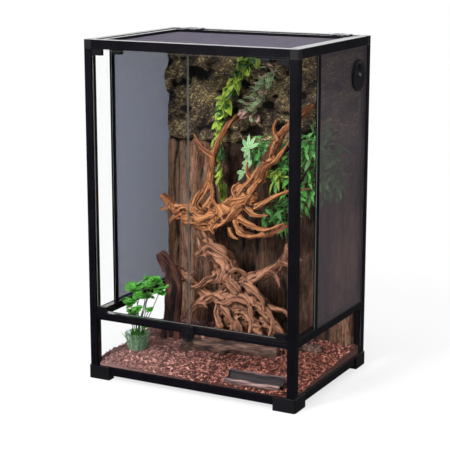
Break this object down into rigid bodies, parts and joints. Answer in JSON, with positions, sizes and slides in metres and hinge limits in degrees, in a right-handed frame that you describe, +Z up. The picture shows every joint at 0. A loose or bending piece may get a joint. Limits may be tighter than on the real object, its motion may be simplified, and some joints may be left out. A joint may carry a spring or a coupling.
{
  "type": "reptile terrarium",
  "caption": "Tall front-opening terrarium with glass doors, wire side screens and lid, latch, cable port, feet, bark bedding, driftwood and plants.",
  "frame": {"origin": "on the floor, under the middle of the frame", "axes": "+X to the right seen from the front, +Y from the doors to the back, +Z up"},
  "size_m": [0.6181, 0.4672, 0.9176],
  "materials": {
    "frame_plastic": "satin black",
    "cap_plastic": "matte black",
    "panel_glass": "clear",
    "floor_plastic": "matte black",
    "screen_wire": "fine black wire",
    "port_plastic": "satin black",
    "lock_plastic": "satin grey",
    "bush_plastic": "satin grey",
    "steel": "brushed",
    "bark_chips": "coarse red-brown chips",
    "cork_bark": "rough dark bark",
    "driftwood": "worn orange-tan grain",
    "rough_bark": "rough brown bark",
    "clear_plastic": "clear",
    "leaf_green": "satin green leaves",
    "leaf_lime": "satin yellow-green leaves",
    "leaf_pale": "satin pale green leaves",
    "leaf_mixed": "satin green and pink leaves"
  },
  "bodies": {
    "root": {"post_fl": "frame_plastic", "post_fr": "frame_plastic", "post_bl": "frame_plastic", "post_br": "frame_plastic", "top_rail_front": "frame_plastic", "top_rail_back": "frame_plastic", "top_rail_left": "frame_plastic", "top_rail_right": "frame_plastic", "mid_rail_front": "frame_plastic", "mid_rail_left": "frame_plastic", "mid_rail_right": "frame_plastic", "bottom_rail_front": "frame_plastic", "bottom_rail_back": "frame_plastic", "bottom_rail_left": "frame_plastic", "bottom_rail_right": "frame_plastic", "top_corner_caps": "cap_plastic", "foot_fl": "cap_plastic", "foot_fr": "cap_plastic", "foot_bl": "cap_plastic", "foot_br": "cap_plastic", "floor_panel": "floor_plastic", "lower_glass_front": "panel_glass", "lower_glass_left": "panel_glass", "lower_glass_right": "panel_glass", "back_glass": "panel_glass", "side_glass_left": "panel_glass", "side_glass_right": "panel_glass", "mullion_left": "frame_plastic", "mullion_right": "frame_plastic", "side_screen_left": "screen_wire", "side_screen_right": "screen_wire", "port_base": "port_plastic", "port_screw": "steel", "lid_brackets": "frame_plastic", "hinge_bushes": "bush_plastic", "latch_boss": "frame_plastic", "latch_screw": "steel", "substrate": "bark_chips", "bark_background": "cork_bark", "driftwood_upper": "driftwood", "driftwood_lower": "driftwood", "bark_slab": "rough_bark", "floor_wood": "rough_bark", "half_log": "rough_bark", "plant_cup": "clear_plastic", "round_leaf_plant": "leaf_green", "pothos_vine": "leaf_lime", "finger_leaf_plant": "leaf_pale", "variegated_plant": "leaf_mixed"},
    "left_door": {"door_glass_left": "panel_glass", "door_hinges_left": "frame_plastic"},
    "right_door": {"door_glass_right": "panel_glass", "door_hinges_right": "frame_plastic"},
    "latch": {"latch_lever": "frame_plastic"},
    "lid": {"lid_frame": "frame_plastic", "lid_mesh": "screen_wire", "lid_pins": "steel"},
    "lid_lock_left": {"lid_lock_left": "lock_plastic"},
    "lid_lock_right": {"lid_lock_right": "lock_plastic"},
    "port_shutter": {"port_shutter": "port_plastic"}
  },
  "joints": [
    {"name": "left_door_swing", "type": "hinge", "parent": "root", "child": "left_door", "pos_m": [-0.269, -0.2235, 0.5], "axis": [0, 0, -1], "range_deg": [0, 110]},
    {"name": "right_door_swing", "type": "hinge", "parent": "root", "child": "right_door", "pos_m": [0.269, -0.2235, 0.5], "axis": [0, 0, 1], "range_deg": [0, 110]},
    {"name": "latch_turn", "type": "hinge", "parent": "root", "child": "latch", "pos_m": [0, -0.232, 0.178], "axis": [0, 1, 0], "range_deg": [0, 180]},
    {"name": "lid_lift", "type": "hinge", "parent": "root", "child": "lid", "pos_m": [0, -0.1985, 0.907], "axis": [1, 0, 0], "range_deg": [0, 75]},
    {"name": "left_lock_slide", "type": "slide", "parent": "lid", "child": "lid_lock_left", "axis": [-1, 0, 0], "range_m": [0, 0.01]},
    {"name": "right_lock_slide", "type": "slide", "parent": "lid", "child": "lid_lock_right", "axis": [1, 0, 0], "range_m": [0, 0.01]},
    {"name": "shutter_turn", "type": "hinge", "parent": "root", "child": "port_shutter", "pos_m": [0.306, 0.1505, 0.817], "axis": [1, 0, 0], "range_deg": [0, 180]}
  ]
}
